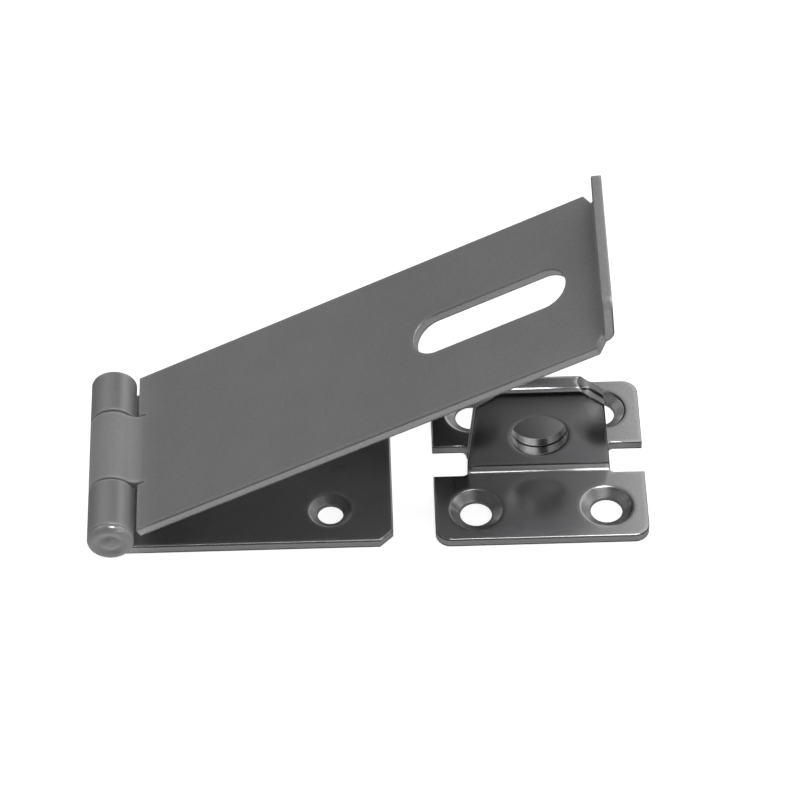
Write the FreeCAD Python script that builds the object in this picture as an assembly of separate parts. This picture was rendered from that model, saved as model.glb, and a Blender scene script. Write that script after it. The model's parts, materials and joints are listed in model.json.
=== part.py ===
import FreeCAD, Part
import math
import os

# Hasp and staple, in millimetres, +Z up.
# The mounting surface is the plane z = 0. The hinge axis runs along Y above the origin,
# the hasp points along +X, and the staple stands where the closed strap takes its loop.
# The strap is first drawn closed, lying flat over the hinge plate, and is then swung open
# by open_angle about the hinge axis, which is the pose the part rests in.

# ---------------------------------------------------------------- driving dimensions

width = 40.0                     # hinge plate, strap and hinge barrel, along Y
sheet = 2.0                      # thickness of the steel the plate and strap are cut from

pin_radius = 2.4
bore_clearance = 0.1             # pin to knuckle bore, radial
near_knuckle = 11.8              # length of the plate's knuckle at the head of the pin
far_knuckle = 10.4               # length of the plate's knuckle at the tail of the pin
knuckle_gap = 0.4                # between neighbouring knuckles
notch_clearance = 1.0            # from the plate's knuckles to the notches of the strap
plate_curl_end = -20.0           # degrees round the pin where the plate's curl stops
strap_curl_end = -35.0           # degrees round the pin where the strap's curl stops

head_height = 1.7                # domed head, as wide as the knuckle it bears on
head_rim = 0.5                   # straight rim under the dome of the head
tail_lap = 1.0                   # how far the riveted tail spreads past the pin
tail_height = 0.9
tail_rim = 0.2

plate_length = 54.5              # hinge axis to the end of the plate
plate_corner = 2.6
plate_hole_radius = 2.5
plate_sink_radius = 4.3
plate_sink_depth = 1.2
plate_hole_inset = 12.1          # pair of holes, from the end of the plate
plate_hole_spacing = 23.8        # pair of holes, apart along Y
plate_mid_hole = 21.0            # single hole on the centre line, from the hinge axis

strap_length = 106.2             # hinge axis to the start of the finger lip
strap_gap = 0.2                  # closed strap above the plates it lies on
strap_bend_radius = 3.0          # inside radius where the strap runs down from its knuckle
strap_corner_long = 1.5          # end corners cut off, along the strap
strap_corner_wide = 2.55         # end corners cut off, across the strap
slot_end_room = 2.2              # loop to the end of the slot, each end
slot_side_room = 2.5             # loop to the side of the slot, each side
slot_inset = 6.6                 # from the end of the slot to the start of the lip
lip_angle = 66.0                 # the lip turns up from the strap by this much
lip_bend_radius = 0.6            # inside radius of that turn
lip_height = 7.6                 # straight part of the lip
lip_corner = 2.2                 # rounding of the lip's two free corners
open_angle = 28.6                # how far the strap stands open at rest

staple_sheet = 2.0
wall_gap = 0.4                   # between the two walls of the folded loop
staple_length = 41.4             # along X
staple_depth = 40.8              # along Y
staple_corner = 3.0
loop_height = 24.0               # top of the loop above the mounting surface
loop_foot = 28.0                 # width of the loop where it leaves the flanges
loop_shoulder = 24.8             # width of the loop under its cut shoulders
loop_crown = 14.6                # width of the flat top
shoulder_drop = 4.7              # height of the cut shoulders
foot_bend = 1.6                  # inside radius between a flange and its wall
relief_round = 1.0               # rounded corner between a flange and the foot of the loop
crown_round = 1.3                # outside rounding of the folded top
padlock_radius = 5.5
padlock_height = 11.1            # centre of the padlock hole above the mounting surface
staple_hole_radius = 3.1
staple_sink_radius = 5.2
staple_sink_depth = 1.3
staple_hole_x = 12.7             # from the middle of the staple
staple_hole_y = 12.7

# ---------------------------------------------------------------- what follows from them

knuckle_bore = pin_radius + bore_clearance
knuckle_radius = knuckle_bore + sheet
axis_z = knuckle_radius
plate_notch = math.sqrt(knuckle_radius**2 - (knuckle_radius - sheet)**2) + knuckle_gap
strap_notch = knuckle_radius + notch_clearance
near_end = -width / 2
far_end = width / 2
near_split = near_end + near_knuckle
far_split = far_end - far_knuckle
loop_thick = 2 * staple_sheet + wall_gap
slot_width = loop_thick + 2 * slot_side_room
slot_length = loop_foot + 2 * slot_end_room
bed = max(sheet, staple_sheet)                    # the thicker plate under the closed strap
strap_under = bed + strap_gap - axis_z            # underside of the strap, from the axis
strap_face = strap_under + sheet                  # upper face of the strap, from the axis
slot_end = strap_length - slot_inset
slot_middle = slot_end - slot_length / 2
staple_x = slot_middle                            # the loop stands in the middle of the slot

AXIS = FreeCAD.Vector(0, 0, axis_z)
ALONG_Y = FreeCAD.Vector(0, 1, 0)
UP = FreeCAD.Vector(0, 0, 1)
PAST = 10.0                                       # how far a cutter runs past what it cuts


# ---------------------------------------------------------------- small drawing helpers

def side(x, z, y=0.0):
    """A point drawn in the side view, x along the hasp and z up."""
    return FreeCAD.Vector(x, y, z)


def polar(radius, degrees, centre=(0.0, 0.0)):
    """A side-view point at an angle round a centre, 0 along +X and 90 straight up."""
    turn = math.radians(degrees)
    return side(centre[0] + radius * math.cos(turn), centre[1] + radius * math.sin(turn))


def line(start, end):
    return Part.LineSegment(start, end).toShape()


def arc(radius, first, last, centre=(0.0, 0.0)):
    """A side-view arc round a centre, from one angle to another."""
    middle = (first + last) / 2
    ends = polar(radius, first, centre), polar(radius, last, centre)
    return Part.Arc(ends[0], polar(radius, middle, centre), ends[1]).toShape()


def filled(edges):
    return Part.Face(Part.Wire(Part.__sortEdges__(edges)))


def outline(points):
    """A flat face with straight edges through the points."""
    return Part.Face(Part.makePolygon(points + points[:1]))


def band(face, start, end):
    """A side-view face stretched along Y from start to end."""
    moved = face.copy()
    moved.translate(FreeCAD.Vector(0, start, 0))
    return moved.extrude(FreeCAD.Vector(0, end - start, 0))


def block(x0, x1, y0, y1, z0, z1):
    return Part.makeBox(x1 - x0, y1 - y0, z1 - z0, FreeCAD.Vector(x0, y0, z0))


def screw_hole(x, y, thickness, radius, sink_radius, sink_depth):
    """Cutter for an upright countersunk hole, its sink in the face at z = thickness."""
    shank = Part.makeCylinder(radius, thickness + 2 * PAST, FreeCAD.Vector(x, y, -PAST), UP)
    seat = FreeCAD.Vector(x, y, thickness - sink_depth)
    sink = Part.makeCone(radius, sink_radius, sink_depth, seat, UP)
    above = Part.makeCylinder(sink_radius, PAST, FreeCAD.Vector(x, y, thickness), UP)
    return shank.fuse([sink, above])


def corner_edges(shape, spots, reach):
    """The edges of a shape whose middle is within reach of any of the spots."""
    found = []
    for edge in shape.Edges:
        middle = edge.valueAt((edge.FirstParameter + edge.LastParameter) / 2)
        if any(middle.distanceToPoint(spot) < reach for spot in spots):
            found.append(edge)
    return found


# ---------------------------------------------------------------- hinge plate

def plate_profile():
    """Side view of a knuckle of the plate: the flat, curled up and over from below."""
    centre = (0.0, axis_z)
    outer_end = polar(knuckle_radius, plate_curl_end, centre)
    inner_end = polar(knuckle_bore, plate_curl_end, centre)
    return filled([
        line(side(plate_notch, 0), side(0, 0)),
        arc(knuckle_radius, 270, plate_curl_end, centre),
        line(outer_end, inner_end),
        arc(knuckle_bore, plate_curl_end, 270, centre),
        line(side(0, sheet), side(plate_notch, sheet)),
        line(side(plate_notch, sheet), side(plate_notch, 0)),
    ])


def hinge_plate():
    inner = width / 2 - plate_corner
    flat = outline([
        side(plate_notch, 0, near_end),
        side(plate_length - plate_corner, 0, near_end),
        side(plate_length, 0, -inner),
        side(plate_length, 0, inner),
        side(plate_length - plate_corner, 0, far_end),
        side(plate_notch, 0, far_end),
    ]).extrude(FreeCAD.Vector(0, 0, sheet))
    near = band(plate_profile(), near_end, near_split - knuckle_gap / 2)
    far = band(plate_profile(), far_split + knuckle_gap / 2, far_end)
    hole_x = plate_length - plate_hole_inset
    spots = [
        (hole_x, -plate_hole_spacing / 2),
        (hole_x, plate_hole_spacing / 2),
        (plate_mid_hole, 0.0),
    ]
    holes = [
        screw_hole(x, y, sheet, plate_hole_radius, plate_sink_radius, plate_sink_depth)
        for x, y in spots
    ]
    return flat.fuse([near, far]).cut(holes).removeSplitter()


# ---------------------------------------------------------------- hasp strap

def strap_profile():
    """Side view, from the axis: over the pin from the flat, and round it underneath."""
    centreline = knuckle_bore + sheet / 2
    bend = strap_bend_radius + sheet / 2
    rise = strap_face + strap_bend_radius
    run = math.sqrt((centreline + bend) ** 2 - rise ** 2)
    leave = math.degrees(math.atan2(rise, run))
    centre = (run, rise)
    below = strap_bend_radius + sheet
    return run, filled([
        arc(knuckle_radius, leave, 360 + strap_curl_end),
        line(polar(knuckle_radius, strap_curl_end), polar(knuckle_bore, strap_curl_end)),
        arc(knuckle_bore, 360 + strap_curl_end, leave),
        arc(below, 180 + leave, 270, centre),
        line(polar(below, 270, centre), side(run, strap_face)),
        arc(strap_bend_radius, 270, 180 + leave, centre),
    ])


def lip_profile():
    """Side view of the finger lip, turned up from the end of the strap."""
    centre = (strap_length, strap_face + lip_bend_radius)
    below = lip_bend_radius + sheet
    last = 270 + lip_angle
    turn = math.radians(lip_angle)
    reach = side(lip_height * math.cos(turn), lip_height * math.sin(turn))
    top = polar(lip_bend_radius, last, centre)
    under = polar(below, last, centre)
    return top.add(reach), filled([
        line(side(strap_length, strap_face), side(strap_length, strap_under)),
        arc(below, 270, last, centre),
        line(under, under.add(reach)),
        line(under.add(reach), top.add(reach)),
        line(top.add(reach), top),
        arc(lip_bend_radius, last, 270, centre),
    ])


def slot_cutter():
    radius = slot_width / 2
    near = slot_end - slot_length + radius
    far = slot_end - radius
    depth = strap_under - PAST
    tall = 2 * PAST
    ends = [
        Part.makeCylinder(radius, tall, FreeCAD.Vector(x, 0, depth), UP) for x in (near, far)
    ]
    return block(near, far, -radius, radius, depth, depth + tall).fuse(ends)


def hasp_strap():
    run, knuckle = strap_profile()
    lip_half = width / 2 - strap_corner_wide
    shoulder = strap_length - strap_corner_long
    tongue_near = near_split + knuckle_gap / 2
    tongue_far = far_split - knuckle_gap / 2
    flat = outline([
        side(strap_notch, strap_under, near_end),
        side(shoulder, strap_under, near_end),
        side(strap_length, strap_under, -lip_half),
        side(strap_length, strap_under, lip_half),
        side(shoulder, strap_under, far_end),
        side(strap_notch, strap_under, far_end),
    ]).extrude(FreeCAD.Vector(0, 0, sheet))
    turned = block(strap_notch, run, tongue_near, tongue_far, strap_under, strap_face)
    middle = band(knuckle, tongue_near, tongue_far)
    tip, lip_face = lip_profile()
    lip = band(lip_face, -lip_half, lip_half)
    tips = [tip.add(ALONG_Y * (lip_half * hand)) for hand in (-1, 1)]
    lip = lip.makeFillet(lip_corner, corner_edges(lip, tips, sheet))
    closed = flat.cut(turned).fuse([middle, lip]).cut(slot_cutter()).removeSplitter()
    closed.translate(AXIS)
    return closed.rotated(AXIS, ALONG_Y, -open_angle)


# ---------------------------------------------------------------- hinge pin

def domed(radius, rim, height):
    """Half section of a rivet head, standing on the pin's axis."""
    rise = height - rim
    dome = (radius ** 2 + rise ** 2) / (2 * rise)
    lift = height - dome
    half = math.atan2(radius, rim - lift) / 2
    middle = FreeCAD.Vector(dome * math.sin(half), 0, lift + dome * math.cos(half))
    top = FreeCAD.Vector(0, 0, height)
    edge = FreeCAD.Vector(radius, 0, rim)
    base = FreeCAD.Vector(radius, 0, 0)
    foot = FreeCAD.Vector(0, 0, 0)
    return filled([
        Part.Arc(top, middle, edge).toShape(),
        line(edge, base),
        line(base, foot),
        line(foot, top),
    ])


def rivet_head(radius, rim, height, y, outward):
    """A domed head seated on the end face of the barrel at y, facing outward along Y."""
    head = domed(radius, rim, height).revolve(FreeCAD.Vector(0, 0, 0), UP, 360)
    head.rotate(FreeCAD.Vector(0, 0, 0), FreeCAD.Vector(1, 0, 0), -90 * outward)
    head.translate(FreeCAD.Vector(0, y, axis_z))
    return head


def hinge_pin():
    shank = Part.makeCylinder(pin_radius, width, FreeCAD.Vector(0, near_end, axis_z), ALONG_Y)
    head = rivet_head(knuckle_radius, head_rim, head_height, near_end, -1)
    tail = rivet_head(pin_radius + tail_lap, tail_rim, tail_height, far_end, 1)
    return shank.fuse([head, tail]).removeSplitter()


# ---------------------------------------------------------------- staple

def half_fold():
    """End view, y across and z up: one flange, its wall and half of the folded top."""
    wall = loop_thick / 2
    inner = wall_gap / 2
    edge = staple_depth / 2
    bend_y = wall + foot_bend
    bend_z = staple_sheet + foot_bend
    outside = foot_bend + staple_sheet
    slant = math.sqrt(0.5)

    def end(y, z):
        return FreeCAD.Vector(0, y, z)

    def bow(start, middle, finish):
        return Part.Arc(end(*start), end(*middle), end(*finish)).toShape()

    foot_top = (bend_y - foot_bend * slant, bend_z - foot_bend * slant)
    foot_under = (bend_y - outside * slant, bend_z - outside * slant)
    crown_y = wall - crown_round
    crown_z = loop_height - crown_round
    crown_mid = (crown_y + crown_round * slant, crown_z + crown_round * slant)
    inside_top = loop_height - staple_sheet
    return filled([
        line(end(edge, 0), end(edge, staple_sheet)),
        line(end(edge, staple_sheet), end(bend_y, staple_sheet)),
        bow((bend_y, staple_sheet), foot_top, (wall, bend_z)),
        line(end(wall, bend_z), end(wall, crown_z)),
        bow((wall, crown_z), crown_mid, (crown_y, loop_height)),
        line(end(crown_y, loop_height), end(0, loop_height)),
        line(end(0, loop_height), end(0, inside_top)),
        line(end(0, inside_top), end(inner, inside_top)),
        line(end(inner, inside_top), end(inner, bend_z)),
        bow((inner, bend_z), foot_under, (bend_y, 0)),
        line(end(bend_y, 0), end(edge, 0)),
    ])


def relief_corner(x_hand, y_hand):
    """Upright cutter that keeps a rounded inside corner beside the foot of the loop."""
    x = x_hand * (loop_foot / 2 + relief_round)
    y = y_hand * (loop_thick / 2 + foot_bend - relief_round)
    x_inner = x_hand * (loop_foot / 2 - relief_round)
    y_outer = y_hand * (loop_thick / 2 + foot_bend)
    x0, x1 = sorted((x, x_inner))
    y0, y1 = sorted((y, y_outer))
    corner = block(x0, x1, y0, y1, -PAST, PAST)
    return corner.cut(Part.makeCylinder(relief_round, 4 * PAST, FreeCAD.Vector(x, y, -2 * PAST), UP))


def staple():
    half = staple_length / 2
    bend_y = loop_thick / 2 + foot_bend
    far_side = half_fold().extrude(FreeCAD.Vector(staple_length, 0, 0))
    far_side.translate(FreeCAD.Vector(-half, 0, 0))
    near_side = far_side.mirror(FreeCAD.Vector(0, 0, 0), ALONG_Y)
    folded = far_side.fuse(near_side).removeSplitter()
    shoulder_z = loop_height - shoulder_drop
    loop = outline([
        side(-loop_foot / 2, -PAST, -bend_y),
        side(-loop_foot / 2, staple_sheet, -bend_y),
        side(-loop_shoulder / 2, shoulder_z, -bend_y),
        side(-loop_crown / 2, loop_height, -bend_y),
        side(loop_crown / 2, loop_height, -bend_y),
        side(loop_shoulder / 2, shoulder_z, -bend_y),
        side(loop_foot / 2, staple_sheet, -bend_y),
        side(loop_foot / 2, -PAST, -bend_y),
    ]).extrude(FreeCAD.Vector(0, 2 * bend_y, 0))
    depth = staple_depth / 2
    flanges = []
    for hand in (-1, 1):
        y0, y1 = sorted((hand * bend_y, hand * depth))
        flange = block(-half, half, y0, y1, -PAST, PAST)
        corners = [FreeCAD.Vector(x, hand * depth, 0) for x in (-half, half)]
        flanges.append(flange.makeFillet(staple_corner, corner_edges(flange, corners, sheet)))
    kept = flanges + [relief_corner(x, y) for x in (-1, 1) for y in (-1, 1)]
    shaped = folded.common(loop).fuse([folded.common(region) for region in kept])
    padlock = Part.makeCylinder(
        padlock_radius, 4 * loop_thick, FreeCAD.Vector(0, -2 * loop_thick, padlock_height), ALONG_Y)
    screws = [
        screw_hole(x * staple_hole_x, y * staple_hole_y, staple_sheet,
                   staple_hole_radius, staple_sink_radius, staple_sink_depth)
        for x in (-1, 1) for y in (-1, 1)
    ]
    whole = shaped.cut([padlock] + screws).removeSplitter()
    whole.translate(FreeCAD.Vector(staple_x, 0, 0))
    return whole


# ---------------------------------------------------------------- write the pieces

PIECES = {
    "hinge_plate": hinge_plate,
    "hasp_strap": hasp_strap,
    "hinge_pin": hinge_pin,
    "staple": staple,
}

os.makedirs("parts", exist_ok=True)
for name, make in PIECES.items():
    piece = make()
    if len(piece.Solids) == 1:
        piece = piece.Solids[0]
    piece.exportStep("parts/" + name + ".step")
    box = piece.BoundBox
    print(name, "solids", len(piece.Solids), "valid", piece.isValid(), "volume", round(piece.Volume, 1),
          "x", round(box.XMin, 2), round(box.XMax, 2), "y", round(box.YMin, 2), round(box.YMax, 2),
          "z", round(box.ZMin, 2), round(box.ZMax, 2))
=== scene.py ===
# %% [markdown]
# # A hasp and staple, made the way a press shop makes one
# A hasp is a slotted strap hinged to a screw-on plate. It swings down over a loop, the staple,
# and a padlock through the loop keeps it there. Three of its four pieces are cut from flat
# steel sheet and folded, so this lesson cuts three flat blanks, gives them the soft rims that
# shearing leaves, and folds them with one small Geometry Nodes group. The fourth piece is the
# turned hinge pin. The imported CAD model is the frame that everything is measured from.

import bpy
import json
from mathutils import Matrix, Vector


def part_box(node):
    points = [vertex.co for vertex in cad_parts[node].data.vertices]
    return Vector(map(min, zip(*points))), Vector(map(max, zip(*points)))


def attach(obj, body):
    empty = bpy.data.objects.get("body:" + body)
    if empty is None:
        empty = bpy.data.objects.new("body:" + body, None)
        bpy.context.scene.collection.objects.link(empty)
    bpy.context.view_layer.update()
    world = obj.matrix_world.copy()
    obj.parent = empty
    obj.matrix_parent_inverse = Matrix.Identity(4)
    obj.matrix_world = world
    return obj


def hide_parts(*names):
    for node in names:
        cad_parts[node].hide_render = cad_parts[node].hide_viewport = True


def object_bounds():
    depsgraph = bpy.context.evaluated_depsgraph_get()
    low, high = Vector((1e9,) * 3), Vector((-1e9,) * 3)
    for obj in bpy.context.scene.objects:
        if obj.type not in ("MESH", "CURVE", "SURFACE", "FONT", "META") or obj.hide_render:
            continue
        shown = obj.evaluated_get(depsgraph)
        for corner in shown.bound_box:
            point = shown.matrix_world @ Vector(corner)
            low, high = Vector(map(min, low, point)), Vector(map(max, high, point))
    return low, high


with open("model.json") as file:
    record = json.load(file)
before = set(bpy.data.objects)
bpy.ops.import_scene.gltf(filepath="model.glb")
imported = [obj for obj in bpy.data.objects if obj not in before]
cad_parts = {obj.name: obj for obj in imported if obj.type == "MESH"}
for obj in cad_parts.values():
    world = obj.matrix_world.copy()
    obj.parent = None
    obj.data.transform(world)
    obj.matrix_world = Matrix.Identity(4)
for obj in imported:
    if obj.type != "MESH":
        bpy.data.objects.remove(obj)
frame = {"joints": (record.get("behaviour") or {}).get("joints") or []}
cad_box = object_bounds()

# %% [markdown]
# ## Measures
# Blender works in metres and a sheet metal worker in millimetres, so every size below is
# written in millimetres times MM. Widths, ends and heights come from the boxes of the CAD
# nodes, and the swing of the strap comes from the joint in the record. Only what a box cannot
# tell, such as the thickness of the sheet, is written as a number.

# %% Units and the sizes that the frame gives
import json
import math

import bmesh
import bpy
from mathutils import Matrix, Vector

MM = 0.001
scene = bpy.context.scene
plate_low, plate_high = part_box("hinge_plate")
pin_low, pin_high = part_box("hinge_pin")
staple_low, staple_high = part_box("staple")
hinge = frame["joints"][0]
axis_height = hinge["pos_m"][2]
open_angle = math.radians(-hinge["range_deg"][0])
near_side, far_side = plate_low.y, plate_high.y
print("axis", round(axis_height / MM, 2), "open", round(math.degrees(open_angle), 1))

# %% The sheet and the hinge barrel
sheet = 2.0 * MM
half_sheet = sheet / 2
barrel_radius = axis_height
pin_radius = 2.4 * MM
curl_radius = barrel_radius - half_sheet
knuckle_gap = 0.4 * MM
near_knuckle, far_knuckle = 11.8 * MM, 10.4 * MM
near_split = near_side + near_knuckle
far_split = far_side - far_knuckle
corner_gap = 1.0 * MM
plate_notch = math.sqrt(barrel_radius**2 - (barrel_radius - sheet)**2) + knuckle_gap
strap_notch = barrel_radius + corner_gap
print("knuckles", [round(v / MM, 1) for v in (near_side, near_split, far_split, far_side)])

# %% [markdown]
# ## A helper for node trees
# Materials and Geometry Nodes trees are both made of nodes, sockets and links. One helper makes
# a node, sets its options, and for each named input either links a socket or writes a value.
# A number that is the same everywhere goes straight into the socket, which keeps trees short.
# Four shorter helpers call it for the nodes that this lesson uses most.


# %% Make one node
def node(tree, kind, inputs=None, **options):
    made = tree.nodes.new(kind)
    for name, value in options.items():
        setattr(made, name, value)
    for name, value in (inputs or {}).items():
        if isinstance(value, bpy.types.NodeSocket):
            tree.links.new(value, made.inputs[name])
        else:
            made.inputs[name].default_value = value
    return made


# %% Make the nodes that are used most
def maths(tree, operation, first, second=0.0, third=0.0):
    """The result of one Math node."""
    inputs = {0: first, 1: second, 2: third}
    return node(tree, "ShaderNodeMath", inputs, operation=operation).outputs[0]


def noise(tree, vector, scale, detail, roughness):
    """The grey value of one Noise Texture node."""
    return node(tree, "ShaderNodeTexNoise", {
        "Vector": vector, "Scale": scale, "Detail": detail, "Roughness": roughness}).outputs["Fac"]


def spread(tree, value, low, high, to_low, to_high):
    """Maps a range of values to another one, smoothly, and stops at its ends."""
    return node(tree, "ShaderNodeMapRange", {
        "Value": value, "From Min": low, "From Max": high, "To Min": to_low,
        "To Max": to_high}, interpolation_type="SMOOTHSTEP").outputs["Result"]


def grey(tree, value, cool=1.0):
    """A grey colour, with a trace of blue where cool is above 1."""
    blue = maths(tree, "MULTIPLY", value, cool)
    return node(tree, "ShaderNodeCombineColor", {
        "Red": value, "Green": value, "Blue": blue}).outputs[0]


# %% [markdown]
# ## The finish: zinc plate on rolled steel
# Zinc plate is a thin metal coat with hardly any colour of its own, so it shows what stands
# around it. What makes it look real is how it is not perfect. The plating bath leaves soft
# clouds and a fine orange peel, the rolling mill leaves faint lines along the sheet, handling
# leaves hairline scratches that cross them, and rims are painted brighter than the faces, partly
# as rubbed wear and partly as painted highlight. The lines must follow the sheet round its folds,
# so they are read from an attribute, "flat", that remembers where each point lay in the flat
# blank. A second attribute is highest on the rims; it stands for wear and also sets where the
# rims get their painted highlight. Half way through the sheet a worn point lies on the sheared
# face of a cut, which is duller than a rolled face. Clouds and grain read plain Object coordinates.


# %% What can be read on the coat
# Cells of noise in one metre of the sheet: along it, across it and through it.
rolled_cells = (22.0, 2300.0, 0.0)
scratch_cells = (28.0, 950.0, 0.0)
scratch_slant = math.radians(24)


def read_coat(tree, curl):
    """Sockets between 0 and 1 for each kind of mark, and the place along the blank."""
    place = node(tree, "ShaderNodeTexCoord").outputs["Object"]
    flat = node(tree, "ShaderNodeAttribute", attribute_name="flat").outputs["Vector"]
    wear_and_highlight = node(tree, "ShaderNodeAttribute", attribute_name="wear_and_highlight").outputs["Fac"]
    blank = node(tree, "ShaderNodeSeparateXYZ", {0: flat}).outputs
    rolled = node(tree, "ShaderNodeMapping", {"Vector": flat, "Scale": rolled_cells})
    slant = node(tree, "ShaderNodeMapping", {
        "Vector": flat, "Rotation": (0.0, 0.0, scratch_slant), "Scale": scratch_cells})
    hair = noise(tree, slant.outputs[0], 1.0, 2.0, 0.5)
    height = maths(tree, "ABSOLUTE", blank["Z"])
    inside = spread(tree, height, 0.55 * MM, 0.8 * MM, 1.0, 0.0)
    return {
        "clouds": noise(tree, place, 120.0, 3.0, 0.55),
        "grain": noise(tree, place, 2600.0, 3.0, 0.6),
        "lines": noise(tree, rolled.outputs[0], 1.0, 4.0, 0.7),
        "scratch": spread(tree, hair, 0.69, 0.74, 0.0, 1.0),
        "wear_and_highlight": wear_and_highlight,
        "sheared": maths(tree, "MULTIPLY", wear_and_highlight, inside),
        "curled": spread(tree, blank["X"], curl, curl + 11.0 * MM, 1.0, 0.0),
        "along": blank["X"],
    }


# %% [markdown]
# ## Colour, gloss and relief of the coat
# The marks above change four things. The colour drifts with clouds, lines and grain, is painted
# a paler grey on the curled knuckles as painted light, is painted lighter towards the lip end of
# the strap as painted light, is painted bright on the rims, partly as rubbed wear and partly as
# painted highlight, and is plain grey on sheared faces. Scratches are glossier than the rest,
# curled and sheared steel is rougher and less of a mirror, and a very low relief breaks up the
# reflections.

# %% Colour of the coat
lit_knuckle_tone = 0.56
sheared_tones = (0.46, 0.54)
rim_wear_and_highlight_colour = (0.8, 0.8, 0.81, 1.0)
tip_light_from, tip_light_to = 60.0 * MM, 108.0 * MM


def coat_colour(tree, coat, tone, painted_tip_light):
    shade = maths(tree, "MULTIPLY_ADD", coat["lines"], 0.25, coat["clouds"])
    shade = spread(tree, shade, 0.4, 0.85, tone * 0.975, tone * 1.025)
    speckle = spread(tree, coat["grain"], 0.3, 0.7, 0.94, 1.06)
    shade = maths(tree, "MULTIPLY", shade, speckle)
    # Painted light: the curled knuckles are painted a paler grey, which on the plate also lifts its
    # painted shade off the barrel.
    shade = maths(tree, "MULTIPLY_ADD", coat["curled"], lit_knuckle_tone - tone, shade)
    # Painted light: the strap is painted lighter towards its lip end.
    tip_lit = spread(tree, coat["along"], tip_light_from, tip_light_to, 1.0, 1.0 + painted_tip_light)
    shade = maths(tree, "MULTIPLY", shade, tip_lit)
    # Rims are painted paler, partly as rubbed wear and partly as painted highlight.
    rubbed_and_highlit = maths(tree, "MULTIPLY", coat["wear_and_highlight"], coat["grain"])
    edged = node(tree, "ShaderNodeMix", {
        0: rubbed_and_highlit, 6: grey(tree, shade, 1.015), 7: rim_wear_and_highlight_colour}, data_type="RGBA")
    torn = grey(tree, spread(tree, coat["grain"], 0.35, 0.65, *sheared_tones))
    return node(tree, "ShaderNodeMix", {
        0: coat["sheared"], 6: edged.outputs[2], 7: torn}, data_type="RGBA").outputs[2]


# %% Gloss, metal and relief of the coat
def changed(tree, value, coat, changes):
    """A value with a share of each named mark added to it."""
    for mark, change in changes:
        value = maths(tree, "MULTIPLY_ADD", coat[mark], change, value)
    return value


def coat_gloss(tree, coat, rough):
    return changed(tree, rough - 0.05, coat, [
        ("clouds", 0.1), ("scratch", -0.05), ("sheared", 0.12), ("curled", 0.12)])


def coat_metal(tree, coat, metal):
    return changed(tree, metal, coat, [("curled", -0.38), ("sheared", -0.6)])


def coat_relief(tree, coat, grain_height, line_height):
    high = changed(tree, 0.0, coat, [
        ("grain", grain_height), ("lines", line_height), ("scratch", -line_height)])
    return node(tree, "ShaderNodeBump", {
        "Height": high, "Strength": 1.0, "Distance": 1.0}).outputs[0]


# %% The zinc material
nowhere = -1.0


def zinc(name, tone, rough, metal, grain_height, line_height, curl=nowhere, painted_tip_light=0.0):
    """tone is the mean reflectance, set low as painted shade for the plate, which lies in the
    strap's shadow, metal the share of mirror-like metal against dull zinc, curl the place along the
    blank, in metres, before which the curling die dulled the coat and the knuckles are painted
    paler as painted light, and the last number how much brighter the lip end is painted than the
    rest, as painted light."""
    material = bpy.data.materials.new(name)
    material.use_nodes = True
    tree = material.node_tree
    tree.nodes.clear()
    coat = read_coat(tree, curl)
    shader = node(tree, "ShaderNodeBsdfPrincipled", {
        "Base Color": coat_colour(tree, coat, tone, painted_tip_light),
        "Roughness": coat_gloss(tree, coat, rough),
        "Metallic": coat_metal(tree, coat, metal),
        "Normal": coat_relief(tree, coat, grain_height, line_height)})
    node(tree, "ShaderNodeOutputMaterial", {"Surface": shader.outputs[0]})
    return material


# %% [markdown]
# ## Four finishes
# The strap and the hinge plate came out of the bath satin, the staple and the pin brighter.
# They share one recipe, because they are one metal, and differ in a few numbers, because each
# was pressed, tumbled and handled in its own way. The plate's much lower tone is painted shade,
# for the shadow of the strap that lies over it, and the strap's lighter lip end is painted light.
# The heights are those of the grain and of the rolling lines. The pin was never a flat blank, so
# it has no lines.

# %% Mix the finishes
# Painted light: the strap is painted up to 40 percent lighter towards its lip end.
satin_strap = zinc("satin_zinc_strap", tone=0.53, rough=0.5, metal=0.88,
                   grain_height=0.003 * MM, line_height=0.001 * MM, curl=1.0 * MM, painted_tip_light=0.4)
# The plate's tone, far below the strap's, is painted shade for the shadow of the closed strap over
# it.
shaded_satin_plate = zinc("painted_shade_zinc_plate", tone=0.38, rough=0.32, metal=1.0,
                   grain_height=0.003 * MM, line_height=0.001 * MM, curl=-1.0 * MM)
bright_staple = zinc("bright_zinc_staple", tone=0.6, rough=0.21, metal=1.0,
                     grain_height=0.0015 * MM, line_height=0.0005 * MM)
bright_pin = zinc("bright_zinc_pin", tone=0.66, rough=0.24, metal=0.5,
                  grain_height=0.003 * MM, line_height=0.0)
print("finishes", [m.name for m in (satin_strap, shaded_satin_plate, bright_staple, bright_pin)])

# %% [markdown]
# ## Drawing a blank
# A blank is a flat outline with holes. Each loop is a list of points that keeps the steel on its
# left: the outline runs anticlockwise and the holes run clockwise. Straight runs need no points
# between their ends. Round parts get one point every few degrees.


# %% Points of a blank
def round_points(x, y, radius, first, last, steps):
    """Points on an arc, from one angle to another, in degrees."""
    angles = [math.radians(first + (last - first) * i / steps) for i in range(steps + 1)]
    return [(x + radius * math.cos(a), y + radius * math.sin(a)) for a in angles]


def round_hole(x, y, radius, steps=72):
    return round_points(x, y, radius, 360, 0, steps)[:-1]


def into_steel(loop):
    """For each point of a loop, the step that moves its two edges 1 unit into the steel."""
    count = len(loop)
    ways = []
    for i in range(count):
        edge = Vector(loop[(i + 1) % count]) - Vector(loop[i])
        edge.normalize()
        ways.append(Vector((-edge.y, edge.x)))
    return [(ways[i - 1] + ways[i]) / (1 + ways[i - 1].dot(ways[i])) for i in range(count)]


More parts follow.
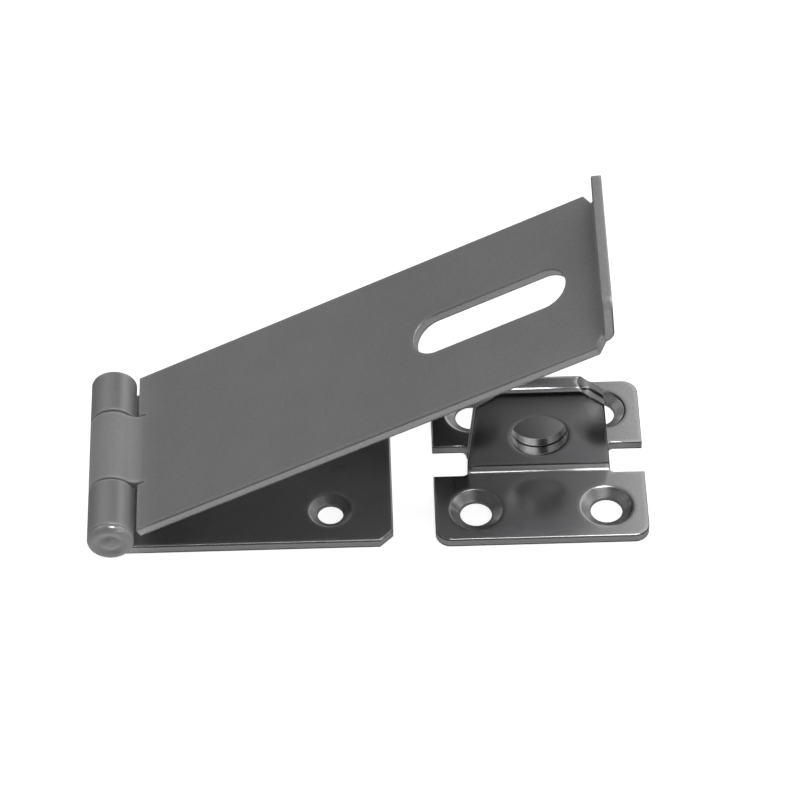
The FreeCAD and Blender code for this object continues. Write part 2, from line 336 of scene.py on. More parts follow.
# %% [markdown]
# ## Rims and sinks
# A punch pulls the upper rim of a cut over into a soft shoulder and leaves the lower rim nearly
# sharp. Every loop is therefore not one wall but a stack of rings, and each ring is given by
# three numbers: how far it lies in from the cut, its height in the sheet, and its wear, which
# also sets how much painted highlight its rim gets. The first and last rings lie on the two
# faces. A countersunk hole is the same idea with a cone.

# %% Rings of a plain cut
upper_rim = 0.32 * MM
lower_rim = 0.14 * MM
rim_fade_band = 0.7 * MM


def lower_rings():
    """The lower end of any cut: a small rim and the flat face beside it."""
    rings = []
    for turn in (0.0, 45.0, 90.0):
        a = math.radians(turn)
        inset, drop = lower_rim * (1 - math.cos(a)), lower_rim * (1 - math.sin(a))
        rings.append((inset, drop - half_sheet, 0.8))
    rings.append((lower_rim + rim_fade_band, -half_sheet, 0.0))
    return rings


def cut_rings():
    """A plain cut, from the upper face to the lower one."""
    rings = [(upper_rim + rim_fade_band, half_sheet, 0.0)]
    for turn in (0.0, 22.5, 45.0, 67.5, 90.0):
        a = math.radians(turn)
        inset, drop = upper_rim * (1 - math.sin(a)), upper_rim * (1 - math.cos(a))
        rings.append((inset, half_sheet - drop, 0.5 if turn == 0.0 else 1.0))
    return rings + lower_rings()


cut_rim = cut_rings()
print("a plain cut has", len(cut_rim), "rings")

# %% Rings of a countersunk hole
sink_lip = 0.22 * MM
sink_foot = 0.1 * MM
sink_cone = [(0.93, 0.05), (0.84, 0.15), (0.5, 0.5), (0.12, 0.88), (0.02, 0.99)]


def sink_rings(flare, depth):
    """flare is how much wider the sink is than the hole. The cone's points are shares of the
    flare and of the depth, and turn in softly at both ends."""
    rings = [(flare + sink_lip + rim_fade_band, half_sheet, 0.0), (flare + sink_lip, half_sheet, 0.4),
             (flare + 0.3 * sink_lip, half_sheet - 0.08 * sink_lip, 1.0)]
    rings += [(flare * out, half_sheet - depth * down, 0.35) for out, down in sink_cone]
    rings.append((0.0, half_sheet - depth - sink_foot, 0.5))
    return rings + lower_rings()


# %% [markdown]
# ## Cutting the blank
# The rings of one loop are joined by quads, the two faces are filled between the innermost
# rings, and the closed shell is cut across at every crease so that it can bend there. Two
# attributes go with it. "flat" is where a point lies in the blank, and "reach" is how far along
# the blank the folding tree should think that it is. They differ only where a point must stay
# flat beside a bend.


# %% Raise the walls of a loop
def raise_rings(shell, wear_and_highlight, loop, profile):
    """The stack of rings of one loop, from the upper face to the lower one."""
    pushes = into_steel(loop)
    rings = []
    for inset, height, rim_mark in profile:
        ring = []
        for (x, y), push in zip(loop, pushes):
            ring.append(shell.verts.new((x + push.x * inset, y + push.y * inset, height)))
            ring[-1][wear_and_highlight] = rim_mark
        rings.append(ring)
    return rings


def join_rings(shell, rings):
    """Quads from each ring to the next one."""
    count = len(rings[0])
    for above, below in zip(rings, rings[1:]):
        for i in range(count):
            j = (i + 1) % count
            shell.faces.new((above[i], above[j], below[j], below[i]))


# %% Take the working mesh over
def take_mesh(name, shell):
    mesh = bpy.data.meshes.new(name)
    shell.to_mesh(mesh)
    shell.free()
    mesh.polygons.foreach_set("use_smooth", [True] * len(mesh.polygons))
    return mesh


# %% Make a blank
def cut_blank(name, loops, creases, reach=lambda x, y: x):
    shell = bmesh.new()
    wear_and_highlight = shell.verts.layers.float.new("wear_and_highlight")
    upper_edges, lower_edges = [], []
    for loop, profile in loops:
        rings = raise_rings(shell, wear_and_highlight, loop, profile)
        join_rings(shell, rings)
        for ring, edges in ((rings[0], upper_edges), (rings[-1], lower_edges)):
            edges += [shell.edges.get((ring[i - 1], ring[i])) for i in range(len(loop))]
    for edges in (upper_edges, lower_edges):
        bmesh.ops.triangle_fill(shell, use_beauty=True, edges=edges)
    bmesh.ops.recalc_face_normals(shell, faces=shell.faces)
    for crease in creases:
        everything = shell.verts[:] + shell.edges[:] + shell.faces[:]
        bmesh.ops.bisect_plane(
            shell, geom=everything, plane_co=(crease, 0, 0), plane_no=(1, 0, 0), dist=1e-7)
    open_edges = sum(1 for edge in shell.edges if len(edge.link_faces) != 2)
    mesh = take_mesh(name, shell)
    mesh.attributes.new("flat", "FLOAT_VECTOR", "POINT")
    mesh.attributes.new("reach", "FLOAT", "POINT")
    flat, along = mesh.attributes["flat"].data, mesh.attributes["reach"].data
    for i, vertex in enumerate(mesh.vertices):
        flat[i].vector = vertex.co
        along[i].value = reach(vertex.co.x, vertex.co.y)
    print(name, len(mesh.vertices), "points", len(mesh.polygons), "faces", open_edges, "open edges")
    return mesh


def crease_lines(line, radius, turn, way, steps):
    """Where a bend needs cuts: from the line where it begins to where it ends."""
    return [line + way * radius * turn * i / steps for i in range(steps + 1)]


# %% [markdown]
# ## Folding
# A press brake bends a sheet along a line. Up to the line nothing moves, inside the bend each
# point turns by its share, and everything beyond turns by the whole angle. One node group does
# this to any blank. For each point it measures how far past the line it reaches, keeps that
# between nothing and the length of the bend, slides the point back by that much and turns it
# about the centre of the bend. "Way" says whether the free side lies towards +X or -X, and
# "Up" says whether it turns up or down. Groups are chained from the free end inwards, because
# a bend further in carries the finished ones along. Solid thickness needs no care: the blank
# already has it, and turning keeps it.


# %% The fold group
def build_fold():
    tree = bpy.data.node_groups.new("Fold sheet", "GeometryNodeTree")
    tree.interface.new_socket("Sheet", in_out="INPUT", socket_type="NodeSocketGeometry")
    for name in ("Line", "Radius", "Turn", "Way", "Up"):
        tree.interface.new_socket(name, in_out="INPUT", socket_type="NodeSocketFloat")
    tree.interface.new_socket("Sheet", in_out="OUTPUT", socket_type="NodeSocketGeometry")
    given = node(tree, "NodeGroupInput").outputs
    reach = node(tree, "GeometryNodeInputNamedAttribute", {"Name": "reach"}, data_type="FLOAT")
    past = maths(tree, "SUBTRACT", reach.outputs[0], given["Line"])
    past = maths(tree, "MULTIPLY", past, given["Way"])
    past = maths(tree, "MAXIMUM", past, 0.0)
    length = maths(tree, "MULTIPLY", given["Radius"], given["Turn"])
    past = maths(tree, "MINIMUM", past, length)
    share = maths(tree, "DIVIDE", past, given["Radius"])
    sense = maths(tree, "MULTIPLY", given["Way"], given["Up"])
    angle = maths(tree, "MULTIPLY", maths(tree, "MULTIPLY", share, sense), -1.0)
    back = node(tree, "ShaderNodeCombineXYZ", {"X": maths(tree, "MULTIPLY", past, given["Way"])})
    place = node(tree, "GeometryNodeInputPosition").outputs[0]
    slid = node(tree, "ShaderNodeVectorMath", {0: place, 1: back.outputs[0]}, operation="SUBTRACT")
    centre = node(tree, "ShaderNodeCombineXYZ", {
        "X": given["Line"], "Z": maths(tree, "MULTIPLY", given["Up"], given["Radius"])})
    turned = node(tree, "ShaderNodeVectorRotate", {
        "Vector": slid.outputs[0], "Center": centre.outputs[0], "Angle": angle},
        rotation_type="Y_AXIS")
    moved = node(tree, "GeometryNodeSetPosition", {
        "Geometry": given["Sheet"], "Position": turned.outputs[0]})
    node(tree, "NodeGroupOutput", {"Sheet": moved.outputs[0]})
    return tree


fold_sheet = build_fold()
print("fold group has", len(fold_sheet.nodes), "nodes")

# %% [markdown]
# ## One folding tree for each piece
# Each piece has its own tree, because each has its own bends, but they are all built by the
# same few lines: the bends from the free end inwards, with the line, radius and turn of each
# as named inputs, then where the folded piece goes, then Realize Instances and Set Material.
# The modifier's inputs are set by their identifiers. The result is copied out as a plain mesh
# with Weighted Normals, which keep big faces flat and let only the rims look round.

# %% Build a piece's tree
bend_sizes = ("line", "radius", "turn")


def folding_tree(name, bends, material, moves, press=None):
    tree = bpy.data.node_groups.new(name, "GeometryNodeTree")
    tree.interface.new_socket("Blank", in_out="INPUT", socket_type="NodeSocketGeometry")
    for bend in bends:
        for size in bend_sizes:
            tree.interface.new_socket(
                bend["name"] + " " + size, in_out="INPUT", socket_type="NodeSocketFloat")
    tree.interface.new_socket("Piece", in_out="OUTPUT", socket_type="NodeSocketGeometry")
    given = node(tree, "NodeGroupInput").outputs
    piece = given["Blank"]
    for bend in bends:
        piece = node(tree, "GeometryNodeGroup", {
            "Sheet": piece, "Way": bend["way"], "Up": bend["up"],
            "Line": given[bend["name"] + " line"], "Radius": given[bend["name"] + " radius"],
            "Turn": given[bend["name"] + " turn"]}, node_tree=fold_sheet).outputs[0]
    if press:
        piece = press(tree, piece)
    for shift, turn in moves:
        piece = node(tree, "GeometryNodeTransform", {
            "Geometry": piece, "Translation": shift, "Rotation": turn}).outputs[0]
    piece = node(tree, "GeometryNodeRealizeInstances", {"Geometry": piece}).outputs[0]
    piece = node(tree, "GeometryNodeSetMaterial", {
        "Geometry": piece, "Material": material}).outputs[0]
    node(tree, "NodeGroupOutput", {"Piece": piece})
    return tree


# %% Run a tree and keep the result
def measured(piece):
    """Prints the size of a finished piece and hands it back."""
    points = [vertex.co for vertex in piece.data.vertices]
    low = [min(p[i] for p in points) / MM for i in range(3)]
    high = [max(p[i] for p in points) / MM for i in range(3)]
    print(piece.name, [round(v, 2) for v in low], [round(v, 2) for v in high])
    return piece


def fold_piece(name, blank, tree, bends):
    piece = bpy.data.objects.new(name, blank)
    scene.collection.objects.link(piece)
    folding = piece.modifiers.new("Folding", "NODES")
    folding.node_group = tree
    sockets = {item.name: item.identifier for item in tree.interface.items_tree}
    for bend in bends:
        for size in bend_sizes:
            folding[sockets[bend["name"] + " " + size]] = float(bend[size])
    weighting = piece.modifiers.new("Flat faces", "WEIGHTED_NORMAL")
    weighting.keep_sharp = True
    weighting.weight = 100
    ready = bpy.context.evaluated_depsgraph_get()
    folded = bpy.data.meshes.new_from_object(piece.evaluated_get(ready), depsgraph=ready)
    piece.modifiers.clear()
    piece.data = folded
    folded.name = name
    return measured(piece)


# %% [markdown]
# ## The hasp strap
# The strap is one blank: a broad flat with the long slot, a finger lip at one end, and a tongue
# at the other that becomes the middle knuckle. The tongue is parted from the corners beside it
# by two short slits, so that it can bend up and over the pin while the corners stay flat.
# The sizes are measured from the hinge axis with the strap lying closed.

# %% Sizes of the strap
lying_gap = 0.2 * MM
strap_under = sheet + lying_gap - barrel_radius
strap_top = strap_under + sheet
strap_length = 106.2 * MM
strap_half = (far_side - near_side) / 2
strap_cut = 1.5 * MM
lip_half = strap_half - 2.55 * MM
lip_rise = 7.6 * MM
lip_round = 2.2 * MM
slot_half = 4.7 * MM
slot_first, slot_last = 67.2 * MM, 99.6 * MM
tongue_near = near_split + knuckle_gap / 2
tongue_far = far_split - knuckle_gap / 2
slit = 0.24 * MM
print("tongue", round((tongue_far - tongue_near) / MM, 1), "wide, strap to", strap_length / MM)

# %% [markdown]
# ### Its three bends
# The tongue first rises from the flat in a small bend and then curls back over the pin. The
# two bends touch where they meet, so the line where the first one begins follows from their
# radii and from the height of the hinge axis above the strap. The lip is a plain bend at the
# other end.

# %% Bends of the strap
rise_inside = 3.0 * MM
rise_radius = rise_inside + half_sheet
rise_height = strap_top + rise_inside
tongue_line = math.sqrt((curl_radius + rise_radius) ** 2 - rise_height ** 2)
leaving = math.atan2(rise_height, tongue_line)
curl_stop = math.radians(325)
rise_turn = math.radians(90) - leaving
curl_turn = curl_stop - leaving
curl_line = tongue_line - rise_radius * rise_turn
lip_turn = math.radians(66)
lip_inside = 0.6 * MM
lip_radius = lip_inside + half_sheet
tongue_end = curl_line - curl_radius * curl_turn
lip_end = strap_length + lip_radius * lip_turn + lip_rise
strap_bends = [
    {"name": "Curl", "line": curl_line, "radius": curl_radius, "turn": curl_turn,
     "way": -1.0, "up": -1.0},
    {"name": "Rise", "line": tongue_line, "radius": rise_radius, "turn": rise_turn,
     "way": -1.0, "up": 1.0},
    {"name": "Lip", "line": strap_length, "radius": lip_radius, "turn": lip_turn,
     "way": 1.0, "up": 1.0},
]
print("tongue from", round(tongue_line / MM, 2), "to", round(tongue_end / MM, 2), "mm")

# %% The strap's outline and slot
strap_outline = (
    [(tongue_end, tongue_near), (tongue_line, tongue_near), (tongue_line, tongue_near - slit),
     (strap_notch, tongue_near - slit), (strap_notch, near_side),
     (strap_length - strap_cut, near_side), (strap_length, -lip_half)]
    + round_points(lip_end - lip_round, -lip_half + lip_round, lip_round, -90, 0, 12)
    + round_points(lip_end - lip_round, lip_half - lip_round, lip_round, 0, 90, 12)
    + [(strap_length, lip_half), (strap_length - strap_cut, far_side), (strap_notch, far_side),
       (strap_notch, tongue_far + slit), (tongue_line, tongue_far + slit),
       (tongue_line, tongue_far), (tongue_end, tongue_far)])
slot_loop = (
    round_points(slot_first + slot_half, 0, slot_half, 270, 90, 36)
    + round_points(slot_last - slot_half, 0, slot_half, 90, -90, 36))
print("strap outline", len(strap_outline), "points, slot", len(slot_loop))


# %% The strap's blank
def strap_reach(x, y):
    """Points of the two corners beside the tongue stay flat."""
    beside = y < tongue_near - slit / 2 or y > tongue_far + slit / 2
    return max(x, tongue_line) if beside else x


strap_creases = (
    crease_lines(curl_line, curl_radius, curl_turn, -1, 66)
    + crease_lines(tongue_line, rise_radius, rise_turn, -1, 16)[:-1]
    + crease_lines(strap_length, lip_radius, lip_turn, 1, 14))
strap_blank = cut_blank(
    "strap_blank", [(strap_outline, cut_rim), (slot_loop, cut_rim)], strap_creases, strap_reach)

# %% Fold the strap and hang it on the hinge
unturned = (0.0, 0.0, 0.0)
strap_moves = [
    ((0.0, 0.0, (strap_top + strap_under) / 2), unturned),
    ((0.0, 0.0, axis_height), (0.0, -open_angle, 0.0)),
]
strap_tree = folding_tree("Fold the strap", strap_bends, satin_strap, strap_moves)
hasp_strap = fold_piece("slotted_hasp_strap", strap_blank, strap_tree, strap_bends)

# %% [markdown]
# ## The hinge plate
# The plate is shorter than the strap, has two tongues that become the outer knuckles, and three
# countersunk holes that the closed strap covers. Its tongues curl up and over from the
# mounting surface, so the barrel stands on the same plane as the back of the plate.

# %% Sizes and outline of the plate
plate_end = plate_high.x
plate_cut = 2.6 * MM
plate_turn = math.radians(290)
plate_tip = -curl_radius * plate_turn
near_tongue = near_split - knuckle_gap / 2
far_tongue = far_split + knuckle_gap / 2
plate_outline = [
    (plate_tip, near_side), (plate_end - plate_cut, near_side),
    (plate_end, near_side + plate_cut), (plate_end, far_side - plate_cut),
    (plate_end - plate_cut, far_side), (plate_tip, far_side), (plate_tip, far_tongue),
    (plate_notch, far_tongue), (plate_notch, near_tongue), (plate_tip, near_tongue)]
print("plate blank", round((plate_end - plate_tip) / MM, 1), "mm long")

# %% The plate's holes and blank
plate_hole = 2.5 * MM
plate_sink = sink_rings(flare=1.8 * MM, depth=1.2 * MM)
pair_x = plate_end - 12.1 * MM
pair_y = 11.9 * MM
lone_x = 21.0 * MM
plate_spots = [(pair_x, -pair_y), (pair_x, pair_y), (lone_x, 0.0)]
plate_loops = [(plate_outline, cut_rim)]
plate_loops += [(round_hole(x, y, plate_hole), plate_sink) for x, y in plate_spots]
plate_blank = cut_blank(
    "plate_blank", plate_loops, crease_lines(0.0, curl_radius, plate_turn, -1, 62))

# %% Curl the plate
plate_bends = [{"name": "Curl", "line": 0.0, "radius": curl_radius, "turn": plate_turn,
                "way": -1.0, "up": 1.0}]
plate_moves = [((0.0, 0.0, half_sheet), unturned)]
plate_tree = folding_tree("Curl the plate", plate_bends, shaded_satin_plate, plate_moves)
hinge_plate = fold_piece("hinge_plate_with_knuckles", plate_blank, plate_tree, plate_bends)

# %% [markdown]
# ## The staple
# The staple is one long blank, folded four ways: up at the foot, back over itself at the crown,
# down and out again. Its loop is narrower than its two flanges and has cut shoulders. One
# length is missing at first, the straight wall between foot and crown. It is what is left of
# the staple's height when the two bends have taken their share.

# %% Sizes of the staple
staple_half = (staple_high.x - staple_low.x) / 2
staple_middle = (staple_high.x + staple_low.x) / 2
flange_edge = staple_low.y
quarter_turn = math.radians(90)
half_turn = math.radians(180)
loop_half_thick = 2.2 * MM
foot_inside = 1.6 * MM
foot_top = sheet + foot_inside
foot_radius = foot_inside + half_sheet
foot_start = -loop_half_thick - foot_inside
wall_foot = foot_start + foot_radius * quarter_turn
crown_radius = loop_half_thick - half_sheet
wall = staple_high.z - loop_half_thick - half_sheet - foot_radius
crown_start = wall_foot + wall
crown_stop = crown_start + crown_radius * half_turn
blank_middle = (crown_start + crown_stop) / 2
staple_bends = [
    {"name": "Far foot", "line": crown_stop + wall, "radius": foot_radius,
     "turn": quarter_turn, "way": 1.0, "up": 1.0},
    {"name": "Crown", "line": crown_start, "radius": crown_radius,
     "turn": half_turn, "way": 1.0, "up": -1.0},
    {"name": "Near foot", "line": foot_start, "radius": foot_radius,
     "turn": quarter_turn, "way": 1.0, "up": 1.0},
]
print("staple blank", round(2 * (blank_middle - flange_edge) / MM, 1), "mm long")

# %% [markdown]
# ### A quarter of its outline
# The blank is the same on both sides of its centre line and before and behind its crown, so one
# quarter is drawn and then mirrored twice. The loop's width is given by height above the
# mounting surface: it narrows slowly up to the shoulder and fast from there to the crown.

# %% Width of the loop
foot_half = 14.0 * MM
shoulder_half = 12.4 * MM
crown_half = 7.3 * MM
shoulder_height = 19.3 * MM


def loop_half_width(height):
    """Half the width of the loop at a height above the mounting surface."""
    if height < shoulder_height:
        share = (height - sheet) / (shoulder_height - sheet)
        return foot_half + (shoulder_half - foot_half) * max(share, 0.0)
    share = (height - shoulder_height) / (staple_high.z - shoulder_height)
    return shoulder_half + (crown_half - shoulder_half) * share


print("foot", foot_half / MM, "shoulder", shoulder_half / MM, "crown", crown_half / MM)

# %% A quarter of the outline, from the near flange to the crown
flange_round = 3.0 * MM
relief_round = 1.0 * MM
crown_steps = 12
shoulder_x = wall_foot + shoulder_height - foot_top
crown_points = []
for i in range(crown_steps + 1):
    around = quarter_turn * i / crown_steps
    height = staple_high.z - loop_half_thick * (1 - math.sin(around))
    crown_points.append((crown_start + crown_radius * around, loop_half_width(height)))
quarter_points = (
    round_points(flange_edge + flange_round, staple_half - flange_round, flange_round, 180, 90, 12)
    + [(foot_start, staple_half)]
    + round_points(foot_start + relief_round, foot_half + relief_round, relief_round, 180, 270, 8)
    + [(wall_foot, loop_half_width(foot_top)), (shoulder_x, shoulder_half)] + crown_points)
print("a quarter has", len(quarter_points), "points")

# %% Mirror it twice
near_there = [(x, -y) for x, y in quarter_points]
near_back = [(2 * blank_middle - x, y) for x, y in near_there[-2::-1]]
far_there = [(2 * blank_middle - x, -y) for x, y in near_there]
far_back = [(x, -y) for x, y in reversed(near_there)][1:]
staple_outline = near_there + near_back + far_there + far_back
print("staple outline", len(staple_outline), "points")

# %% The staple's holes and blank
screw_hole = 3.1 * MM
screw_aside = 12.7 * MM
screw_sink = sink_rings(flare=2.1 * MM, depth=1.3 * MM)
padlock_hole = 5.5 * MM
padlock_height = 11.1 * MM
padlock_x = wall_foot + padlock_height - foot_top
# Painted shade: the padlock holes get less rim wear and rim highlight than other cuts, so their
# bores stay dark inside the loop.
shaded_bore_rim = [(inset, height, 0.3 * rim_mark) for inset, height, rim_mark in cut_rim]
staple_loops = [(staple_outline, cut_rim)]
for x in (-screw_aside, 2 * blank_middle + screw_aside):
    for y in (-screw_aside, screw_aside):
        staple_loops.append((round_hole(x, y, screw_hole), screw_sink))
for x in (padlock_x, 2 * blank_middle - padlock_x):
    staple_loops.append((round_hole(x, 0.0, padlock_hole, 96), shaded_bore_rim))
staple_creases = (
    crease_lines(foot_start, foot_radius, quarter_turn, 1, 16)
    + crease_lines(crown_start, crown_radius, half_turn, 1, 24)
    + crease_lines(crown_stop + wall, foot_radius, quarter_turn, 1, 16))
staple_blank = cut_blank("staple_blank", staple_loops, staple_creases)

# %% [markdown]
# ### Closing the crown in a press
# Bending alone would leave the crown round. A press flattens its top, which squares it. The
# squaring is a superellipse: each point above the middle of the crown moves out along its own
# ray, least at the sides and at the top, and most at the two corners.

# %% The press step
squareness = 3.65


def press_crown(tree, piece):
    """Squares the round top of the fold, about the middle of the crown."""
    lift = staple_high.z - loop_half_thick - half_sheet
    place = node(tree, "GeometryNodeInputPosition").outputs[0]
    parts = node(tree, "ShaderNodeSeparateXYZ", {0: place}).outputs
    above = maths(tree, "MAXIMUM", maths(tree, "SUBTRACT", parts["Z"], lift), 0.0)
    across = maths(tree, "MAXIMUM", maths(tree, "ABSOLUTE", parts["X"]), 1e-9)
    squares = maths(tree, "MULTIPLY_ADD", above, above, maths(tree, "MULTIPLY", across, across))
    ray = maths(tree, "SQRT", squares)
    wide = maths(tree, "POWER", maths(tree, "DIVIDE", across, ray), squareness)
    tall = maths(tree, "POWER", maths(tree, "DIVIDE", above, ray), squareness)
    grow = maths(tree, "POWER", maths(tree, "ADD", wide, tall), -1.0 / squareness)
    more = maths(tree, "SUBTRACT", grow, 1.0)
    out = node(tree, "ShaderNodeCombineXYZ", {
        "X": maths(tree, "MULTIPLY", parts["X"], more),
        "Z": maths(tree, "MULTIPLY", above, more)})
    return node(tree, "GeometryNodeSetPosition", {
        "Geometry": piece, "Offset": out.outputs[0]}).outputs[0]


# %% Fold the staple and stand it where the closed slot takes it
staple_moves = [((staple_middle, 0.0, half_sheet), (0.0, 0.0, quarter_turn))]
staple_tree = folding_tree(
    "Fold the staple", staple_bends, bright_staple, staple_moves, press_crown)
staple = fold_piece("folded_staple", staple_blank, staple_tree, staple_bends)

# %% [markdown]
# ## The hinge pin
# The pin is a plain rod that is riveted over at both ends. At the near end the riveting punch
# spread it to the width of the barrel and left a rolled rim round a shallow dish, with a small
# pip in the middle. At the far end it left a smaller, lower dome. Both are bodies of
# revolution, so one profile is turned round the axis in mesh code. Each point of a profile is
# how far it stands out from the barrel's end and how far it lies from the axis, in millimetres.

# %% Profile of the pin
head_shape = [
    (1.70, 0.3), (1.66, 0.7), (1.54, 1.05), (1.34, 1.35), (1.14, 1.6), (1.04, 1.9),
    (1.08, 2.25), (1.24, 2.62), (1.42, 3.0), (1.5, 3.35), (1.45, 3.7), (1.28, 4.0),
    (1.02, 4.24), (0.72, 4.41), (0.4, 4.5), (0.15, 4.5), (0.03, 4.42), (0.0, 4.3)]
tail_shape = [
    (0.0, 3.3), (0.1, 3.4), (0.25, 3.38), (0.45, 3.2), (0.62, 2.8), (0.74, 2.3),
    (0.82, 1.7), (0.87, 1.1), (0.9, 0.5)]
pin_profile = [(near_side - out * MM, radius * MM) for out, radius in head_shape]
pin_profile += [(near_side, pin_radius), (far_side, pin_radius)]
pin_profile += [(far_side + out * MM, radius * MM) for out, radius in tail_shape]
print("pin profile", len(pin_profile), "points")


# %% Turn the pin
def turn_pin(name, steps=96):
    rod = bmesh.new()
    rings = []
    for y, radius in pin_profile:
        ring = []
        for i in range(steps):
            around = math.radians(360) * i / steps
            ring.append(rod.verts.new((
                radius * math.cos(around), y, axis_height + radius * math.sin(around))))
        rings.append(ring)
    join_rings(rod, rings)
    for ring, y in ((rings[0], pin_low.y), (rings[-1], pin_high.y)):
        tip = rod.verts.new((0.0, y, axis_height))
        for i in range(steps):
            rod.faces.new((ring[i], ring[(i + 1) % steps], tip))
    bmesh.ops.recalc_face_normals(rod, faces=rod.faces)
    mesh = take_mesh(name, rod)
    mesh.set_sharp_from_angle(angle=math.radians(50))
    mesh.materials.append(bright_pin)
    pin = bpy.data.objects.new(name, mesh)
    scene.collection.objects.link(pin)
    return measured(pin)


hinge_pin = turn_pin("riveted_hinge_pin")

# %% [markdown]
# ## Riding, replacing and slots
# Every piece names the CAD body it moves with, the CAD node it stands for, which is hidden, and
# a material slot of the record, which nothing here reads; its finish is the material it was given
# when it was made. Only the strap moves.

# %% Tie the pieces to the frame
for piece, body, name, slot in (
        (hasp_strap, "strap", "hasp_strap", "plated_strap"),
        (hinge_plate, "fixed_side", "hinge_plate", "plated_plate"),
        (hinge_pin, "fixed_side", "hinge_pin", "plated_pin"),
        (staple, "fixed_side", "staple", "plated_staple")):
    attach(piece, body)
    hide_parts(name)
    print(piece.name, "rides", body)

# %% [markdown]
# ## The table
# Plated metal is a mirror with soft eyes, so lighting it means deciding what it sees. The table
# is plain pale paper that glows a little, so that it stays even and the shadows on it stay
# faint. The metal doesn't see it, because it would fill every steep face with white.


# %% Lay the table
def level_board(name, low, high, height, material):
    """A level rectangle between two corners."""
    mesh = bpy.data.meshes.new(name)
    corners = ((low[0], low[1]), (high[0], low[1]), (high[0], high[1]), (low[0], high[1]))
    mesh.from_pydata([(x, y, height) for x, y in corners], [], [(0, 1, 2, 3)])
    mesh.materials.append(material)
    board = bpy.data.objects.new(name, mesh)
    scene.collection.objects.link(board)
    return board


def pale_paper():
    paper = bpy.data.materials.new("pale_paper")
    paper.use_nodes = True
    surface = paper.node_tree.nodes["Principled BSDF"]
    surface.inputs["Base Color"].default_value = (0.86, 0.86, 0.86, 1.0)
    surface.inputs["Roughness"].default_value = 0.9
    surface.inputs["Emission Color"].default_value = (1.0, 1.0, 1.0, 1.0)
    surface.inputs["Emission Strength"].default_value = 0.85
    return paper


table_reach = 4.0
table_level = cad_box[0][2] - 0.02 * MM
table = level_board(
    "table", (-table_reach, -table_reach), (table_reach, table_reach), table_level, pale_paper())
table.visible_glossy = False
print("table at", round(table_level / MM, 2))

# %% [markdown]
# ## The room
# The room is only a brightness for each direction, which is what the metal mirrors. It is dark
# low down, brightest half way up and dim again overhead. It is brighter behind the hasp than in
# front of it, and brighter to its left and right than in between. A low glow behind it finds
# the rounded rims along the far edges. Below, parts holds the direction: X is right, Y is away
# from the camera and Z is up, each from -1 to 1.

# %% Paint the room
height_tones = [
    (0.0, 0.03), (0.42, 0.03), (0.55, 0.12), (0.7, 0.22), (0.85, 0.5), (0.93, 0.3), (1.0, 0.12)]


def tone_by_height(tree, up):
    """Brightness from straight down, 0, to straight up, 1, with the horizon at 0.5."""
    height = maths(tree, "MULTIPLY_ADD", up, 0.5, 0.5)
    tones = node(tree, "ShaderNodeValToRGB", {"Fac": height})
    ramp = tones.color_ramp
    while len(ramp.elements) < len(height_tones):
        ramp.elements.new(0.5)
    for stop, (position, value) in zip(ramp.elements, height_tones):
        stop.position = position
        stop.color = (value, value, value, 1.0)
    return tones.outputs[0]


def paint_room():
    room = bpy.data.worlds.new("room")
    scene.world = room
    room.use_nodes = True
    tree = room.node_tree
    tree.nodes.clear()
    way = node(tree, "ShaderNodeTexCoord").outputs["Generated"]
    parts = node(tree, "ShaderNodeSeparateXYZ", {0: way}).outputs
    behind = spread(tree, parts["Y"], -0.35, 0.45, 0.2, 1.0)
    left = spread(tree, parts["X"], -0.4, -0.12, 1.0, 0.55)
    right = spread(tree, parts["X"], 0.02, 0.15, 0.0, 1.2)
    sides = maths(tree, "MULTIPLY", behind, maths(tree, "ADD", left, right))
    walls = maths(tree, "MULTIPLY", tone_by_height(tree, parts["Z"]), sides)
    glow = spread(tree, parts["Z"], 0.05, 0.3, 0.7, 0.0)
    glow = maths(tree, "MULTIPLY", glow, spread(tree, parts["Z"], -0.2, 0.0, 0.0, 1.0))
    glow = maths(tree, "MULTIPLY", glow, spread(tree, parts["Y"], 0.75, 0.95, 0.0, 1.0))
    light = node(tree, "ShaderNodeBackground", {
        "Color": (1.0, 1.0, 1.0, 1.0), "Strength": maths(tree, "ADD", walls, glow)})
    node(tree, "ShaderNodeOutputWorld", {"Surface": light.outputs[0]})


paint_room()
print("room", scene.world.name)

# %% [markdown]
# ## One lamp and two cards
# One soft lamp high overhead lights the table and finds the rims. Two level cards above the
# table, one behind the hasp and one in front of it, are seen only in reflections. Each glows
# more from left to right, which gives the flat staple its shading from near black to pale grey,
# as a graded card does in a studio.


# %% Hang the lamp
def soft_lamp(name, place, aim, size, power):
    light = bpy.data.lights.new(name, "AREA")
    light.shape = "DISK"
    light.size = size
    light.energy = power
    lamp = bpy.data.objects.new(name, light)
    scene.collection.objects.link(lamp)
    lamp.location = place
    lamp.rotation_euler = (Vector(aim) - Vector(place)).to_track_quat("-Z", "Y").to_euler()


soft_lamp("top_lamp", (0.25, -0.05, 1.3), (cad_box[0] + cad_box[1]) / 2, size=0.5, power=3.8)
print("lamp watts", round(bpy.data.lights["top_lamp"].energy, 1))

# %% Hang the cards
card_height = 0.12


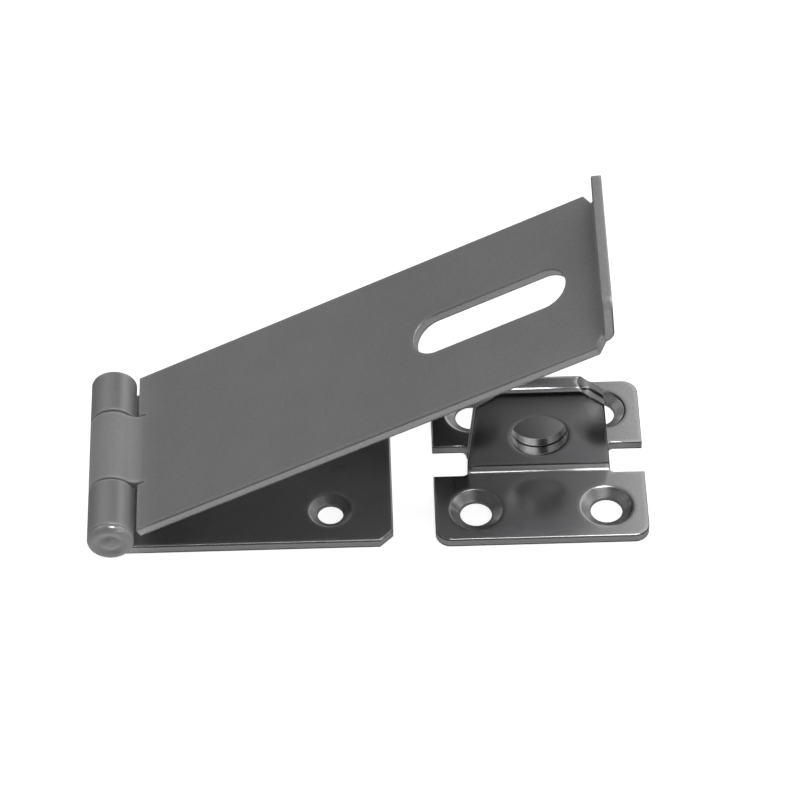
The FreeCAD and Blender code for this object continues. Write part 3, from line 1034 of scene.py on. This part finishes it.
def graded_card(name, low, high, fade):
    """fade is two places along X and how strongly the card glows at each."""
    glow = bpy.data.materials.new(name)
    glow.use_nodes = True
    tree = glow.node_tree
    tree.nodes.clear()
    place = node(tree, "ShaderNodeTexCoord").outputs["Object"]
    across = node(tree, "ShaderNodeSeparateXYZ", {0: place}).outputs["X"]
    light = node(tree, "ShaderNodeEmission", {"Strength": spread(tree, across, *fade)})
    node(tree, "ShaderNodeOutputMaterial", {"Surface": light.outputs[0]})
    card = level_board(name, low, high, card_height, glow)
    card.visible_camera = False
    card.visible_diffuse = False
    card.visible_shadow = False


graded_card("back_card", (0.0, 0.02), (0.30, 0.45), (0.083, 0.123, 0.0, 0.66))
graded_card("front_card", (0.0, -0.45), (0.30, -0.05), (0.06, 0.13, 0.05, 0.5))
print("cards hang", card_height, "m above the table")

# %% [markdown]
# ## The camera
# A long lens from well away keeps parallel edges nearly parallel, which suits a small flat
# object. The camera stands almost square in front of the hasp and looks down at it at about 47
# degrees, so that the slot, the screw holes and the padlock hole all show. It is rolled by less
# than one degree. Only the lens and the film are given in millimetres, as Blender wants them.

# %% Set the camera
azimuth, elevation, roll = math.radians(-1.01), math.radians(47.317), math.radians(-0.788)
distance = 778.1 * MM
target = Vector((56.6, 9.3, 10.0)) * MM
focal_length = 178.2
film_width = 36.0


def set_camera():
    back = Vector((math.sin(azimuth) * math.cos(elevation),
                   -math.cos(azimuth) * math.cos(elevation), math.sin(elevation)))
    side = (-back).cross(Vector((0, 0, 1))).normalized()
    upright = side.cross(-back)
    right = side * math.cos(roll) + upright * math.sin(roll)
    up = upright * math.cos(roll) - side * math.sin(roll)
    lens = bpy.data.cameras.new("camera")
    lens.sensor_width = film_width
    lens.lens = focal_length
    lens.clip_start = 0.01
    camera = bpy.data.objects.new("camera", lens)
    scene.collection.objects.link(camera)
    turn = Matrix((right, up, back)).transposed().to_4x4()
    camera.matrix_world = Matrix.Translation(target + back * distance) @ turn
    scene.camera = camera


set_camera()
scene.view_settings.view_transform = "Standard"
print("camera", [round(v, 3) for v in scene.camera.matrix_world.translation])
